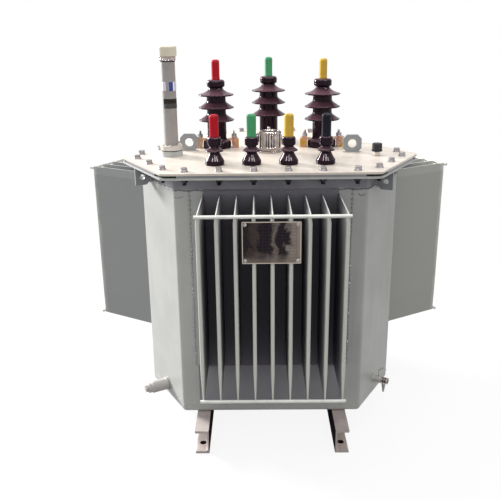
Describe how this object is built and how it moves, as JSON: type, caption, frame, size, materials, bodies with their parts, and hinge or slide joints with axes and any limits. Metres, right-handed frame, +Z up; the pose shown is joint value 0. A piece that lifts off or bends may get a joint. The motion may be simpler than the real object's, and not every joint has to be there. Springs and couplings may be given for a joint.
{
  "type": "oil-immersed distribution transformer",
  "caption": "Oil-filled power transformer in a six-sided tank with corrugated cooling fins, porcelain bushings, level gauge and relief valve on a bolted cover, standing on channel feet.",
  "frame": {"origin": "centre of the four foot holes at the underside of the feet, under the middle of the six-sided tank", "axes": "+X to the right seen from the nameplate side, +Y away from the nameplate side, +Z up"},
  "size_m": [1.2652, 1.0337, 1.2215],
  "materials": {
    "tank_paint": "semi-gloss grey paint",
    "cover_paint": "semi-gloss pale grey paint",
    "fitting_paint": "semi-gloss grey paint",
    "foot_paint": "semi-gloss grey paint",
    "gasket_rubber": "matte",
    "porcelain": "dark brown glaze",
    "sleeve_red": "satin",
    "sleeve_green": "satin",
    "sleeve_yellow": "satin",
    "sleeve_black": "satin",
    "zinc_gold": "yellow zinc plate",
    "relief_chrome": "polished",
    "gauge_cap_paint": "satin cream",
    "gauge_glass": "clear",
    "black_plastic": "satin black",
    "nameplate_metal": "bright",
    "core_steel": "dull laminated electrical steel",
    "winding_paper": "oil-soaked insulating paper",
    "valve_steel": "dull plated"
  },
  "bodies": {
    "root": {"core": "core_steel", "corner_plate_back": "tank_paint", "corner_plate_left": "tank_paint", "corner_plate_right": "tank_paint", "cover_gasket": "gasket_rubber", "cover_lugs": "fitting_paint", "cover_plate": "cover_paint", "drain_stub": "tank_paint", "fin_bars_front": "tank_paint", "fin_bars_left": "tank_paint", "fin_bars_right": "tank_paint", "fin_panel_front": "tank_paint", "fin_panel_left": "tank_paint", "fin_panel_right": "tank_paint", "foot_channel_left": "foot_paint", "foot_channel_right": "foot_paint", "gasket_stops": "tank_paint", "gauge_cap": "gauge_cap_paint", "gauge_gasket": "gasket_rubber", "gauge_seat": "fitting_paint", "gauge_tube": "fitting_paint", "gauge_window": "gauge_glass", "hv_claws_left": "zinc_gold", "hv_claws_middle": "zinc_gold", "hv_claws_right": "zinc_gold", "hv_porcelain_left": "porcelain", "hv_porcelain_middle": "porcelain", "hv_porcelain_right": "porcelain", "hv_sleeve_left": "sleeve_red", "hv_sleeve_middle": "sleeve_green", "hv_sleeve_right": "sleeve_yellow", "lower_bands": "tank_paint", "lv_porcelain_1": "porcelain", "lv_porcelain_2": "porcelain", "lv_porcelain_3": "porcelain", "lv_porcelain_4": "porcelain", "lv_sleeve_1": "sleeve_red", "lv_sleeve_2": "sleeve_green", "lv_sleeve_3": "sleeve_yellow", "lv_sleeve_4": "sleeve_black", "nameplate": "nameplate_metal", "nameplate_backing": "tank_paint", "pocket_cap": "black_plastic", "relief_valve": "relief_chrome", "sample_valve": "valve_steel", "tank_floor": "tank_paint", "tank_lugs": "tank_paint", "tank_rim": "tank_paint", "thermometer_pocket": "fitting_paint", "valve_lever": "valve_steel", "windings": "winding_paper"}
  },
  "joints": []
}
